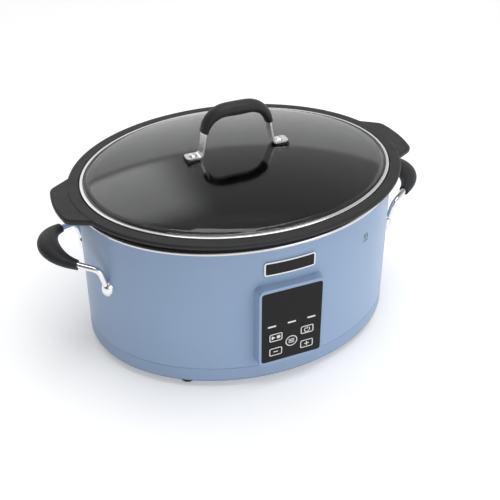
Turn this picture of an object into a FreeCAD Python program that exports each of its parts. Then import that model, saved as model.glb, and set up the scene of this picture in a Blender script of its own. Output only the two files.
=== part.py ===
import FreeCAD, Part
import math
import os

from FreeCAD import Placement, Rotation, Vector

# Oval slow cooker with a lift-out cast pot and a glass lid. Millimetres, +Z up.
# The origin lies on the table under the middle of the housing. X is the long axis
# and the control panel faces -Y.

# Overall size
LENGTH = 470.0  # over the side grips
DEPTH = 317.5  # over the rim of the pot
HEIGHT = 279.4  # from the table to the top of the lid grip

# Ovals, as half length and half depth
SHELL = (184.0, 146.5)
RIM = (193.7, DEPTH / 2)
LID = (179.8, 145.4)

# Heights above the table
BASE_BOTTOM = 6.5
SEAM = 27.0
SHELL_TOP = 181.5
RING_TOP = 183.0
RIM_TOP = 199.0
LEDGE = 195.0  # shelf in the pot rim that carries the lid
WELL_FLOOR = 40.0
POT_FLOOR = 44.0

# Housing
SHELL_WALL = 1.2
BASE_WALL = 2.5
BASE_ROUND = 6.0
SEAM_GAP = 0.4
LIP_HEIGHT = 8.0
LIP_PLAY = 0.2
FOOT_HOLE_RADIUS = 2.8  # hole in the wall behind each handle foot
HANDLE_SCREW_RADIUS = 1.95
RING_PROUD = 1.0
RING_BEAD = 2.6  # radius of the rounded outside
RING_FOOT = -47.0  # degrees round the bead where it meets the wall

# Heating well and pot, as insets from the rim oval
WELL_WALL = 1.0
WELL_TOP_INSET = 20.0
WELL_FOOT_INSET = 27.0
BOTTOM_ROUND = 22.0
WALL_BANDS = 3  # bands that the sloping wall of the well is drawn in
POT_GAP = 3.0
POT_WALL = 4.0
COLLAR_INSET = 14.5
RIM_THICK = 5.5
RIM_ROUND = 2.5
LID_GAP = 1.3

# Pot ears
EAR_ROOT_X = 176.0
EAR_ROOT_Y = 54.0
EAR_CORNER_X = 208.0
EAR_CORNER_Y = 35.0
EAR_TIP_X = 212.5
EAR_CORNER_ROUND = 12.0
EAR_THICK = 7.0
EAR_DROOP = 3.0  # degrees

# Lid
GLASS_THICK = 4.0
BAND_WALL = 0.4
BAND_LIP = 3.4
SHOULDER_OUT = 0.972  # share of the half size where the shoulder starts to climb
SHOULDER_IN = 0.942
SHOULDER_RISE = 2.0
SHOULDER_STEPS = 7
DOME_RISE = 19.0
DOME_STEPS = 9

# Lid handle
STRAP_WIDE = 14.0
STRAP_THICK = 2.0
STRAP_END_X = 61.5
STRAP_BEND_X = 43.5
STRAP_TOP_X = 34.3
STRAP_FOOT_Z = 222.0
LID_SCREW_X = 52.5
STRAP_TOP_RADIUS = 26.0
STRAP_FOOT_RADIUS = 4.0
LID_GRIP_THICK = 15.4
LID_GRIP_WIDE = 19.0
LID_GRIP_END_THICK = 9.2
LID_GRIP_END_WIDE = 16.6
LID_GRIP_START_Z = 250.0
LID_GRIP_STEPS = 7
LID_SCREW_RADIUS = 2.0
LID_HOLE_RADIUS = 2.3

# Side handles
ROD_RADIUS = 3.6
HANDLE_FOOT_Y = 50.5
HANDLE_FOOT_Z = 109.5
HANDLE_BEND = Vector(181.0, 52.5, 137.0)
HANDLE_TILT = 13.0  # degrees that the loop rises outward
BOW_CENTRE_X = 177.5
ROD_BEND_RADIUS = 11.0
ROD_END = 1.4  # from the wall to the end of the rod, inside the dome
DOME_WIDE = 7.6
DOME_TALL = 10.0
SIDE_GRIP_WIDE = 24.0
SIDE_GRIP_THICK = 17.0
GRIP_END = 12.0
SIDE_GRIP_STEPS = 14

# Control panel
PANEL_FRONT = -154.5
PANEL_BACK = -138.0
BEZEL_X = 38.5
BEZEL_Z = (33.5, 135.4)
BEZEL_DRAFT = 2.0
BEZEL_ROUND = 7.0
WINDOW_X = 35.5
WINDOW_Z = (37.5, 131.4)
WINDOW_THICK = 2.0
WINDOW_ROUND = 3.5
WINDOW_GAP = 0.15
CAVITY_X = 33.0
CAVITY_Z = (40.5, 128.4)
CAVITY_BACK = -120.0
CAVITY_ROUND = 4.0
KEY_X = 18.7
KEY_UPPER_Z = 70.4
KEY_MIDDLE_Z = 60.0
KEY_LOWER_Z = 50.5
KEY_WIDE = 16.4
KEY_TALL = 11.6
KEY_ROUND = 2.2
MODE_RADIUS = 7.6
KEY_GAP = 0.3
KEY_PROUD = 0.3
KEY_FLANGE = 1.0
CONTROL_BOARD_X = 31.0
CONTROL_BOARD_Z = (42.5, 126.5)
DISPLAY_X = 25.0
DISPLAY_Z = (94.0, 122.0)
LAMP_RADIUS = 1.5
BOARD_FRONT = -147.6
BOARD_THICK = 1.6
SWITCH_TALL = 3.1
LED_Z = 86.0
LED_X = 23.5

# Badge plate above the panel
BADGE_X = 29.5
BADGE_Z = (148.0, 165.0)
BADGE_PROUD = 1.6
BADGE_FRAME = 1.6
BADGE_ROUND = 3.0

# Feet
FOOT_X = 104.0
FOOT_Y = 103.0
FOOT_RADIUS = 9.0
FOOT_RECESS_RADIUS = 4.2
FOOT_RECESS_TOP = 4.5
FOOT_SCREW_HEAD = (3.6, 2.2)  # radius and height, as for the heads below
FOOT_SCREW_RADIUS = 1.8
FOOT_SCREW_TOP = 14.0
SCREW_PLAY = 0.1  # round the shank of each screw

# Tie bolts between the base and the well
POST_X = 90.0
POST_RADIUS = 6.0
BOLT_RADIUS = 2.4
BOLT_HEAD_RADIUS = 4.6
BOLT_HEAD = (0.3, 3.2)  # from under the head to its top, above the base
TIE_NUT_RADIUS = 4.4
TIE_NUT_TALL = 2.2

# Sensor and thermal fuse under the well
SENSOR_RADIUS = 5.0
SENSOR_TALL = 5.0
BRACKET_SHEET = 1.2
BRACKET_HALF = 22.0
BRACKET_TAB = 30.0
FUSE_X = 54.0
FUSE_DROP = 3.2
FUSE_BODY = (2.2, 7.0)  # radius and half length
FUSE_WIRE = (0.6, 16.0)
CLIP_HALF = 5.0
CLIP_DROP = 6.4
CLIP_SIDE = 1.2
CLIP_FOOT = 1.0

# Power board in the base
POWER_BOARD_X = (-75.0, 25.0)
POWER_BOARD_Y = (-97.0, -33.0)
POWER_BOARD_Z = 15.0
BOARD_POST_INSET = 5.0
BOARD_POST_RADIUS = 3.0
BOARD_SCREW_RADIUS = 1.15
BOARD_SCREW_HEAD = (2.6, 1.8)
RELAY_HEIGHT = 15.0
CORE_HEIGHT = 16.4
TERMINAL_TOP = 27.0
TERMINAL_Y = -43.0
TERMINAL_XS = (-19.0, -9.0, 1.0)

# Wiring
LEAD_RADIUS = 1.3
LEAD_BEND = 8.0
LEAD_STARTS = (-26.0, -14.0)
LEAD_LOW_Z = 36.0
HEATER_Z = (64.0, 90.0)
HEATER_TAB = (66.0, 74.0)
RIBBON_HALF = 6.0
RIBBON_THICK = 0.6
RIBBON_TOP_Z = 47.6
RIBBON_END_Y = -92.0

# Cord gland
GLAND_Z = 16.0
GLAND_RADIUS = 5.9
GLAND_COLLAR = 7.6
GLAND_FLANGE = 7.2
GLAND_SLOT = (7.4, 3.6)  # width and height of the slot for the cord


def oval(size, inset, z):
    """Closed oval wire inside the given half sizes by the inset."""
    ellipse = Part.Ellipse(Vector(0, 0, z), size[0] - inset, size[1] - inset)
    return Part.Wire(ellipse.toShape())


def stack(size, levels):
    """Solid through a pile of ovals, each level an (inset, z) pair."""
    return Part.makeLoft([oval(size, inset, z) for inset, z in levels], True, True)


def tub(size, inset, z0, z1):
    """Straight oval block."""
    return stack(size, [(inset, z0), (inset, z1)])


def arc_levels(inset, z, radius, start, end, steps=5):
    """Levels along an arc about (inset, z). Angle 0 points outward and 90 up."""
    levels = []
    for step in range(steps + 1):
        angle = math.radians(start + (end - start) * step / steps)
        levels.append((inset - radius * math.cos(angle), z + radius * math.sin(angle)))
    return levels


def opposite(shape):
    """Copy turned half round, at the other end of the housing."""
    copy = shape.copy()
    copy.rotate(Vector(0, 0, 0), Vector(0, 0, 1), 180)
    return copy


def box(x0, x1, y0, y1, z0, z1):
    return Part.makeBox(x1 - x0, y1 - y0, z1 - z0, Vector(x0, y0, z0))


def cylinder(radius, start, end):
    """Round bar from one point to another."""
    along = end - start
    return Part.makeCylinder(radius, along.Length, start, along)


def plate_wire(x0, x1, z0, z1, y, radius):
    """Rounded rectangle in the plane of the panel."""
    block = Part.makeBox(x1 - x0, 1.0, z1 - z0, Vector(x0, y, z0))
    upright = [e for e in block.Edges if abs(e.tangentAt(e.FirstParameter).y) > 0.9]
    rounded = block.makeFillet(radius, upright)
    front = [f for f in rounded.Faces if abs(f.CenterOfMass.y - y) < 1e-6]
    return front[0].OuterWire


def plate(x0, x1, z0, z1, y0, y1, radius):
    """Rounded rectangular plate from y0 to y1."""
    face = Part.Face(plate_wire(x0, x1, z0, z1, y0, radius))
    return face.extrude(Vector(0, y1 - y0, 0))


def corner(before, point, after, radius):
    """Start, middle and end of the arc that rounds a corner of a path."""
    back = (before - point).normalize()
    ahead = (after - point).normalize()
    half = back.getAngle(ahead) / 2
    reach = radius / math.tan(half)
    middle = (back + ahead).normalize()
    centre = point + middle * (radius / math.sin(half))
    return point + back * reach, centre - middle * radius, point + ahead * reach


def line(start, end):
    return Part.LineSegment(start, end).toShape()


def arc(start, middle, end):
    return Part.Arc(start, middle, end).toShape()


def bar_piece(edge, radius):
    """Round bar along one edge, a straight line or an arc."""
    start = edge.firstVertex().Point
    along = edge.tangentAt(edge.FirstParameter)
    disc = Part.Face(Part.Wire(Part.makeCircle(radius, start, along)))
    if isinstance(edge.Curve, Part.Line):
        return disc.extrude(edge.lastVertex().Point - start)
    circle = edge.Curve
    turn = math.degrees(edge.LastParameter - edge.FirstParameter)
    return disc.revolve(circle.Center, circle.Axis, turn)


def round_bar(edges, radius):
    """Round bar along a chain of tangent lines and arcs."""
    pieces = [bar_piece(edge, radius) for edge in edges]
    return pieces[0].multiFuse(pieces[1:]).removeSplitter()


def pipe(edges, profile):
    """Solid swept by a closed profile along joined edges."""
    return Part.Wire(edges).makePipeShell([profile], True, True)


def ellipse_at(point, across, up, half_across, half_up):
    """Closed elliptical wire about a point. The half size across is the longer one."""
    ellipse = Part.Ellipse(Vector(0, 0, 0), half_across, half_up)
    shape = Part.Wire(ellipse.toShape())
    shape.Placement = Placement(point, Rotation(across, up, across.cross(up), "XYZ"))
    return shape


def swell(fraction):
    """Fullness of a grip along its length: 0 at the ends, 1 in the middle."""
    return math.sin(math.pi * fraction) ** 1.2


# Housing ------------------------------------------------------------------------------


def shell_point(y):
    """Point on the outer wall of the housing at the right-hand end."""
    return Vector(SHELL[0] * math.sqrt(1 - (y / SHELL[1]) ** 2), y, 0)


def shell_normal(point):
    return Vector(point.x / SHELL[0] ** 2, point.y / SHELL[1] ** 2, 0).normalize()


def handle_feet():
    """Seat and outward direction of the four handle feet."""
    seats = []
    for side in (-1, 1):
        for end in (-1, 1):
            point = shell_point(end * HANDLE_FOOT_Y)
            point.x = side * point.x
            point.z = HANDLE_FOOT_Z
            seats.append((point, shell_normal(point)))
    return seats


def outer_shell():
    wall = tub(SHELL, 0, SEAM + SEAM_GAP, SHELL_TOP)
    wall = wall.cut(tub(SHELL, SHELL_WALL, SEAM, RING_TOP))
    wall = wall.cut(panel_cavity(PANEL_FRONT - 5))
    for seat, normal in handle_feet():
        wall = wall.cut(cylinder(FOOT_HOLE_RADIUS, seat - normal * 6, seat + normal * 6))
    return wall


def base_pan():
    """Moulded floor of the housing with a lip inside the wall and its posts."""
    outside = arc_levels(BASE_ROUND, BASE_BOTTOM + BASE_ROUND, BASE_ROUND, -90, 0)
    body = stack(SHELL, outside + [(0, SEAM)])
    lip = tub(SHELL, SHELL_WALL + LIP_PLAY, SEAM - 1, SEAM + LIP_HEIGHT)
    hollow_inset = SHELL_WALL + LIP_PLAY + BASE_WALL
    hollow = tub(SHELL, hollow_inset, BASE_BOTTOM + BASE_WALL, RING_TOP)
    pan = body.fuse(lip).cut(hollow)
    for x in (-POST_X, POST_X):
        foot = Vector(x, 0, BASE_BOTTOM + 1)
        top = Vector(x, 0, WELL_FLOOR - WELL_WALL)
        under = Vector(x, 0, BASE_BOTTOM - 2)
        pan = pan.fuse(cylinder(POST_RADIUS, foot, top))
        pan = pan.cut(cylinder(BOLT_RADIUS + 0.3, under, top + Vector(0, 0, 1)))
        counterbore_top = Vector(x, 0, BASE_BOTTOM + BOLT_HEAD[1])
        pan = pan.cut(cylinder(BOLT_HEAD_RADIUS + 0.6, under, counterbore_top))
    for x, y in board_posts():
        foot = Vector(x, y, BASE_BOTTOM + 1)
        top = Vector(x, y, POWER_BOARD_Z)
        pan = pan.fuse(cylinder(BOARD_POST_RADIUS, foot, top))
        pilot = BOARD_SCREW_RADIUS + 0.05
        pan = pan.cut(cylinder(pilot, foot + Vector(0, 0, 2), top + Vector(0, 0, 1)))
    for x, y in foot_places():
        low = Vector(x, y, BASE_BOTTOM - 1)
        pan = pan.cut(cylinder(FOOT_SCREW_RADIUS + SCREW_PLAY, low, Vector(x, y, 12.0)))
    inner = Vector(0, SHELL[1] - 16.5, GLAND_Z)
    pan = pan.cut(cylinder(GLAND_RADIUS + SCREW_PLAY, inner, inner + Vector(0, 30, 0)))
    return pan.removeSplitter()


def top_ring():
    """Polished bead over the upper edge of the housing wall."""
    centre = RING_TOP - RING_BEAD
    ring = stack(SHELL, arc_levels(RING_BEAD - RING_PROUD, centre, RING_BEAD, RING_FOOT, 90, 8))
    ring = ring.cut(tub(SHELL, 0, centre - RING_BEAD, SHELL_TOP))
    return ring.cut(tub(RIM, WELL_TOP_INSET, SHELL_TOP - 1, RING_TOP + 1))


def well_cup(outset, top):
    """Block the shape of the heating well, grown outward by the outset."""
    bend_z = WELL_FLOOR + BOTTOM_ROUND
    levels = arc_levels(WELL_FOOT_INSET + BOTTOM_ROUND, bend_z, BOTTOM_ROUND + outset, -90, 0)
    for band in range(1, WALL_BANDS + 1):
        share = band / WALL_BANDS
        inset = WELL_FOOT_INSET + share * (WELL_TOP_INSET - WELL_FOOT_INSET)
        levels.append((inset - outset, bend_z + share * (top - bend_z)))
    return stack(RIM, levels)


def heating_well():
    """Deep-drawn metal well with a flange under the top ring."""
    flange = tub(SHELL, SHELL_WALL + LIP_PLAY, SHELL_TOP - WELL_WALL, SHELL_TOP)
    well = well_cup(WELL_WALL, SHELL_TOP).fuse(flange).cut(well_cup(0, SHELL_TOP))
    for x in (-POST_X, POST_X):
        low = Vector(x, 0, WELL_FLOOR - 10)
        well = well.cut(cylinder(BOLT_RADIUS + 0.2, low, Vector(x, 0, WELL_FLOOR + 1)))
    return well.removeSplitter()


def well_outset_at(z):
    """Inset of the outer face of the well wall at a height."""
    share = (z - WELL_FLOOR - BOTTOM_ROUND) / (SHELL_TOP - WELL_FLOOR - BOTTOM_ROUND)
    return WELL_FOOT_INSET + share * (WELL_TOP_INSET - WELL_FOOT_INSET) - WELL_WALL


def well_wrap(z0, z1, near, far):
    """Sleeve round the well between two distances from its wall."""
    low = well_outset_at(z0)
    high = well_outset_at(z1)
    outer = stack(RIM, [(low - far, z0), (high - far, z1)])
    return outer.cut(stack(RIM, [(low - near, z0), (high - near, z1)]))


def heater_tab_y():
    """Inner side of the heater terminals, just inside the band."""
    return -(RIM[1] - well_outset_at((HEATER_TAB[0] + HEATER_TAB[1]) / 2)) + 0.6


def heater_band():
    """Flat heating element strapped round the foot of the well, with two terminals."""
    band = well_wrap(HEATER_Z[0], HEATER_Z[1], 0.3, 1.7)
    y = heater_tab_y()
    for x in LEAD_STARTS:
        band = band.fuse(box(x - 3, x + 3, y - 4.0, y, HEATER_TAB[0], HEATER_TAB[1]))
    return band


def insulation_wrap():
    """Mat round the heater, with an opening for its terminals."""
    wrap = well_wrap(HEATER_Z[0] - 2, HEATER_Z[1] + 5, 2.2, 5.4)
    x0 = min(LEAD_STARTS) - 8
    x1 = max(LEAD_STARTS) + 8
    return wrap.cut(box(x0, x1, -RIM[1], -100, HEATER_TAB[0] - 6, HEATER_TAB[1] + 4))


def tie_bolts():
    """Bolts that pull the well down onto the base posts."""
    bolts = []
    for x in (-POST_X, POST_X):
        low = Vector(x, 0, BASE_BOTTOM + BOLT_HEAD[0])
        shoulder = Vector(x, 0, BASE_BOTTOM + BOLT_HEAD[1])
        shank = cylinder(BOLT_RADIUS, shoulder - Vector(0, 0, 1), Vector(x, 0, WELL_FLOOR + 1.2))
        bolts.append(shank.fuse(cylinder(BOLT_HEAD_RADIUS, low, shoulder)))
    return Part.makeCompound(bolts)


def tie_nuts():
    """Low nuts on the tie bolts, inside the well."""
    nuts = []
    for x in (-POST_X, POST_X):
        seat = Vector(x, 0, WELL_FLOOR)
        top = seat + Vector(0, 0, TIE_NUT_TALL)
        bore = cylinder(BOLT_RADIUS, seat - Vector(0, 0, 1), top + Vector(0, 0, 1))
        nuts.append(cylinder(TIE_NUT_RADIUS, seat, top).cut(bore))
    return Part.makeCompound(nuts)


def sensor():
    """Temperature sensor pressed up under the floor of the well."""
    top = Vector(0, 0, WELL_FLOOR - WELL_WALL)
    return cylinder(SENSOR_RADIUS, top - Vector(0, 0, SENSOR_TALL), top)


def sensor_bracket():
    """Bent strap that holds the sensor up."""
    top = WELL_FLOOR - WELL_WALL
    low = top - SENSOR_TALL - BRACKET_SHEET
    half = SENSOR_RADIUS
    strap = box(-BRACKET_HALF, BRACKET_HALF, -half, half, low, low + BRACKET_SHEET)
    for side in (-1, 1):
        inner = side * (BRACKET_HALF - BRACKET_SHEET)
        x0, x1 = sorted((inner, side * BRACKET_HALF))
        strap = strap.fuse(box(x0, x1, -half, half, low, top))
        x0, x1 = sorted((inner, side * BRACKET_TAB))
        strap = strap.fuse(box(x0, x1, -half, half, top - BRACKET_SHEET, top))
    return strap.removeSplitter()


def thermal_fuse():
    """One-shot fuse body with its two wire ends, under the floor of the well."""
    z = WELL_FLOOR - WELL_WALL - FUSE_DROP
    bars = [cylinder(radius, Vector(FUSE_X, -half, z), Vector(FUSE_X, half, z))
            for radius, half in (FUSE_BODY, FUSE_WIRE)]
    return bars[0].fuse(bars[1])


def fuse_clip():
    """Saddle over the fuse."""
    top = WELL_FLOOR - WELL_WALL
    low = top - CLIP_DROP
    x0 = FUSE_X - CLIP_HALF
    x1 = FUSE_X + CLIP_HALF
    saddle = box(x0, x1, -3, 3, low, top)
    return saddle.cut(box(x0 + CLIP_SIDE, x1 - CLIP_SIDE, -4, 4, low + CLIP_FOOT, top - CLIP_FOOT))


# Base electronics -----------------------------------------------------------------------


def board_posts():
    xs = (POWER_BOARD_X[0] + BOARD_POST_INSET, POWER_BOARD_X[1] - BOARD_POST_INSET)
    ys = (POWER_BOARD_Y[0] + BOARD_POST_INSET, POWER_BOARD_Y[1] - BOARD_POST_INSET)
    return [(x, y) for x in xs for y in ys]


def on_board(x0, x1, y0, y1, z0, z1):
    """Block between two heights above the power board."""
    top = POWER_BOARD_Z + BOARD_THICK
    return box(x0, x1, y0, y1, top + z0, top + z1)


def power_board():
    top = POWER_BOARD_Z + BOARD_THICK
    board = box(*POWER_BOARD_X, *POWER_BOARD_Y, POWER_BOARD_Z, top)
    for x, y in board_posts():
        hole = cylinder(1.6, Vector(x, y, POWER_BOARD_Z - 1), Vector(x, y, top + 1))
        board = board.cut(hole)
    return board


def board_screws():
    screws = []
    seat_z = POWER_BOARD_Z + BOARD_THICK
    radius, tall = BOARD_SCREW_HEAD
    for x, y in board_posts():
        seat = Vector(x, y, seat_z)
        tip = Vector(x, y, BASE_BOTTOM + 3.4)
        shank = cylinder(BOARD_SCREW_RADIUS, tip, seat + Vector(0, 0, 0.4))
        screws.append(shank.fuse(cylinder(radius, seat, seat + Vector(0, 0, tall))))
    return Part.makeCompound(screws)


def transformer():
    """Iron core with its winding."""
    core = on_board(-58, -32, -80, -56, 0, CORE_HEIGHT)
    winding = on_board(-55, -35, -84, -52, 2.4, CORE_HEIGHT - 2)
    return core.fuse(winding).removeSplitter()


def relay():
    return on_board(-16, 3, -86, -70, 0, RELAY_HEIGHT)


def terminal_block():
    """Screw terminals at the rear edge of the power board."""
    floor = POWER_BOARD_Z + BOARD_THICK
    block = box(-24, 6, TERMINAL_Y - 5, TERMINAL_Y + 5, floor, TERMINAL_TOP)
    for x in TERMINAL_XS:
        low = Vector(x, TERMINAL_Y, TERMINAL_TOP - 5)
        block = block.cut(cylinder(2.0, low, low + Vector(0, 0, 6)))
    return block


def ribbon_cable():
    """Flat cable from the back of the control board down to the power board."""
    half = RIBBON_HALF
    thick = RIBBON_THICK
    floor = POWER_BOARD_Z + BOARD_THICK
    low = floor + 0.8
    back = BOARD_FRONT + BOARD_THICK
    outer = back + 3.5
    inner = outer + thick
    stub = box(-half, half, back, inner, RIBBON_TOP_Z - thick, RIBBON_TOP_Z)
    drop = box(-half, half, outer, inner, low + thick, RIBBON_TOP_Z)
    run = box(-half, half, outer, RIBBON_END_Y, low, low + thick)
    foot = box(-half, half, RIBBON_END_Y - 2, RIBBON_END_Y + 1, floor, low + thick)
    return stub.fuse(drop).fuse(run).fuse(foot).removeSplitter()


def heater_leads():
    """Two insulated wires from the heater terminals to the terminal block."""
    leads = []
    start_y = heater_tab_y() - 2.0
    for x, end_x in zip(LEAD_STARTS, TERMINAL_XS):
        points = [Vector(x, start_y, HEATER_TAB[0]), Vector(x, start_y, LEAD_LOW_Z)]
        points.append(Vector(end_x, TERMINAL_Y - 23, LEAD_LOW_Z - 0.6))
        points.append(Vector(end_x, TERMINAL_Y, TERMINAL_TOP))
        near, near_mid, near_end = corner(points[0], points[1], points[2], LEAD_BEND)
        far, far_mid, far_end = corner(points[1], points[2], points[3], LEAD_BEND)
        edges = [line(points[0], near), arc(near, near_mid, near_end), line(near_end, far)]
        edges += [arc(far, far_mid, far_end), line(far_end, points[3])]
        leads.append(round_bar(edges, LEAD_RADIUS))
    return Part.makeCompound(leads)


def cord_gland():
    """Bush in the rear wall with a slot for a flat two-core cord."""
    wall = Vector(0, SHELL[1], GLAND_Z)
    back = Vector(0, 1, 0)
    neck = cylinder(GLAND_RADIUS, wall - back * 5, wall + back)
    collar = cylinder(GLAND_COLLAR, wall + back * 0.2, wall + back * 3.4)
    flange = cylinder(GLAND_FLANGE, wall - back * 7.4, wall - back * 4.6)
    wide = GLAND_SLOT[0] / 2
    tall = GLAND_SLOT[1] / 2
    slot = box(-wide, wide, wall.y - 10, wall.y + 6, GLAND_Z - tall, GLAND_Z + tall)
    return neck.fuse(collar).fuse(flange).cut(slot).removeSplitter()


# Feet -------------------------------------------------------------------------------------


def foot_places():
    return [(x, y) for x in (-FOOT_X, FOOT_X) for y in (-FOOT_Y, FOOT_Y)]


def rubber_foot(x, y):
    """Round foot, slightly tapered, with a recess for its screw."""
    axis = Vector(0, 0, 1)
    floor = Vector(x, y, 0)
    foot = Part.makeCone(FOOT_RADIUS - 1, FOOT_RADIUS, BASE_BOTTOM, floor, axis)
    foot = foot.cut(cylinder(FOOT_RECESS_RADIUS, floor - axis, floor + axis * FOOT_RECESS_TOP))
    bore = cylinder(FOOT_SCREW_RADIUS + SCREW_PLAY, floor, floor + axis * (BASE_BOTTOM + 1))
    return foot.cut(bore)


def foot_screws():
    screws = []
    radius, tall = FOOT_SCREW_HEAD
    for x, y in foot_places():
        seat = Vector(x, y, FOOT_RECESS_TOP)
        head = cylinder(radius, seat - Vector(0, 0, tall), seat)
        shank = cylinder(FOOT_SCREW_RADIUS, seat, Vector(x, y, FOOT_SCREW_TOP))
        screws.append(head.fuse(shank))
    return Part.makeCompound(screws)


# Side handles -----------------------------------------------------------------------------


def tilted(x, y):
    """Point of the handle loop, tilted up about the line through its two bends."""
    reach = x - HANDLE_BEND.x
    tilt = math.radians(HANDLE_TILT)
    rise = reach * math.sin(tilt)
    return Vector(HANDLE_BEND.x + reach * math.cos(tilt), y, HANDLE_BEND.z + rise)


def bow_radius():
    """Radius of the bow that puts the outside of the grip at half the length."""
    outmost = LENGTH / 2 - SIDE_GRIP_WIDE / 2
    reach = (outmost - HANDLE_BEND.x) / math.cos(math.radians(HANDLE_TILT))
    return HANDLE_BEND.x + reach - BOW_CENTRE_X


def bow_angle():
    """Half angle of the bow, up to where the straight part of the rod is tangent."""
    away_x = HANDLE_BEND.x - BOW_CENTRE_X
    away = math.hypot(away_x, HANDLE_BEND.y)
    return math.atan2(HANDLE_BEND.y, away_x) - math.acos(bow_radius() / away)


def bow_point(angle):
    radius = bow_radius()
    return tilted(BOW_CENTRE_X + radius * math.cos(angle), radius * math.sin(angle))


def rod_half(end):
    """Edges from a foot to the start of the bow. The end is -1 at the front, 1 behind."""
    seat = shell_point(end * HANDLE_FOOT_Y)
    seat.z = HANDLE_FOOT_Z
    start = seat + shell_normal(seat) * ROD_END
    bend = Vector(HANDLE_BEND.x, end * HANDLE_BEND.y, HANDLE_BEND.z)
    bow = bow_point(end * bow_angle())
    first, middle, last = corner(start, bend, bow, ROD_BEND_RADIUS)
    return [line(start, first), arc(first, middle, last), line(last, bow)]


def rod_path():
    front = rod_half(-1)
    back = rod_half(1)
    reach = bow_angle()
    bow = arc(bow_point(-reach), bow_point(0), bow_point(reach))
    return front + [bow] + back[::-1]


def handle_dome():
    """Egg-shaped foot, standing upright about the origin."""
    egg = Part.Ellipse(Vector(0, 0, DOME_TALL), Vector(DOME_WIDE, 0, 0), Vector(0, 0, 0))
    side = Part.ArcOfEllipse(egg, math.pi, 2 * math.pi).toShape()
    closing = line(side.Vertexes[0].Point, side.Vertexes[-1].Point)
    outline = Part.Face(Part.Wire([side, closing]))
    return outline.revolve(Vector(0, 0, 0), Vector(0, 0, 1), 360)


def handle_rod():
    """Bent round rod with a domed foot at each end."""
    rod = round_bar(rod_path(), ROD_RADIUS)
    seats = [seat for seat in handle_feet() if seat[0].x > 0]
    for seat, normal in seats:
        dome = handle_dome()
        dome.Placement = Placement(seat, Rotation(Vector(0, 0, 1), 180))
        rod = rod.fuse(dome)
    rod = rod.cut(tub(SHELL, 0, 0, HEIGHT))
    for seat, normal in seats:
        bore = cylinder(HANDLE_SCREW_RADIUS + 0.05, seat - normal * 2, seat + normal * 4.6)
        rod = rod.cut(bore)
    return rod


def side_grip(rod):
    """Soft grip over the bow of the rod, fat in the middle."""
    wires = []
    reach = bow_angle()
    for step in range(SIDE_GRIP_STEPS + 1):
        fraction = step / SIDE_GRIP_STEPS
        angle = reach * (2 * fraction - 1)
        out = Vector(math.cos(angle), math.sin(angle), 0)
        full = swell(fraction)
        half_wide = (GRIP_END + (SIDE_GRIP_WIDE - GRIP_END) * full) / 2
        half_thick = (GRIP_END - 1 + (SIDE_GRIP_THICK - GRIP_END + 1) * full) / 2
        wires.append(ellipse_at(bow_point(angle), out, Vector(0, 0, 1), half_wide, half_thick))
    return Part.makeLoft(wires, True, False).cut(rod)


def handle_screws():
    """Screws from inside the housing into the domed feet."""
    screws = []
    for seat, normal in handle_feet():
        inner = seat - normal * (SHELL_WALL + 1.4)
        head = cylinder(4.2, inner - normal * 2.6, inner)
        screws.append(head.fuse(cylinder(HANDLE_SCREW_RADIUS, inner, seat + normal * 4.2)))
    return Part.makeCompound(screws)


def handle_washers():
    washers = []
    for seat, normal in handle_feet():
        outer = seat - normal * (SHELL_WALL + 0.2)
        washer = cylinder(5.2, outer - normal * 1.2, outer)
        washers.append(washer.cut(cylinder(2.2, outer - normal * 3, outer + normal * 3)))
    return Part.makeCompound(washers)


# Control panel ------------------------------------------------------------------------------


def panel_cavity(front):
    """Block of the hollow behind the panel, through the wall of the housing."""
    return plate(-CAVITY_X, CAVITY_X, CAVITY_Z[0], CAVITY_Z[1], front, CAVITY_BACK, CAVITY_ROUND)


def panel_bezel():
    """Raised frame with a flat front, seated on the curved wall."""
    draft = BEZEL_DRAFT
    front = plate_wire(-BEZEL_X, BEZEL_X, BEZEL_Z[0], BEZEL_Z[1], PANEL_FRONT, BEZEL_ROUND)
    foot = plate_wire(-BEZEL_X - draft, BEZEL_X + draft, BEZEL_Z[0] - draft,
                      BEZEL_Z[1] + draft, PANEL_BACK, BEZEL_ROUND + draft)
    frame = Part.makeLoft([foot, front], True, True)
    frame = frame.cut(tub(SHELL, 0, 0, RING_TOP))
    gap = WINDOW_GAP
    seat = plate(-WINDOW_X - gap, WINDOW_X + gap, WINDOW_Z[0] - gap, WINDOW_Z[1] + gap,
                 PANEL_FRONT - 1, PANEL_FRONT + WINDOW_THICK, WINDOW_ROUND)
    return frame.cut(seat).cut(panel_cavity(PANEL_FRONT - 1))


def key_outline(x, z, grow, y0, y1):
    """Block of a rectangular key about (x, z), grown on all sides."""
    half = KEY_WIDE / 2 + grow
    tall = KEY_TALL / 2 + grow
    return plate(x - half, x + half, z - tall, z + tall, y0, y1, KEY_ROUND + grow)


def mode_outline(grow, y0, y1):
    """Block of the round key."""
    centre = Vector(0, y0, KEY_MIDDLE_Z)
    return Part.makeCylinder(MODE_RADIUS + grow, y1 - y0, centre, Vector(0, 1, 0))


def key_places():
    """Name and middle of each rectangular key."""
    return {
        "start_stop_button": (-KEY_X, KEY_UPPER_Z),
        "power_button": (KEY_X, KEY_UPPER_Z),
        "minus_button": (-KEY_X, KEY_LOWER_Z),
        "plus_button": (KEY_X, KEY_LOWER_Z),
    }


def panel_window():
    """Glossy dark front plate with a hole for each key."""
    back = PANEL_FRONT + WINDOW_THICK
    window = plate(-WINDOW_X, WINDOW_X, WINDOW_Z[0], WINDOW_Z[1], PANEL_FRONT, back, WINDOW_ROUND)
    for x, z in key_places().values():
        window = window.cut(key_outline(x, z, KEY_GAP, PANEL_FRONT - 1, back + 1))
    return window.cut(mode_outline(KEY_GAP, PANEL_FRONT - 1, back + 1))


def key_levels():
    """Growth, front and back of a key's face and of the wider flange behind it."""
    back = PANEL_FRONT + WINDOW_THICK
    face = (0, PANEL_FRONT - KEY_PROUD, back + 0.3)
    flange = (KEY_FLANGE, back + 0.2, back + 0.9)
    return face, flange


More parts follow.
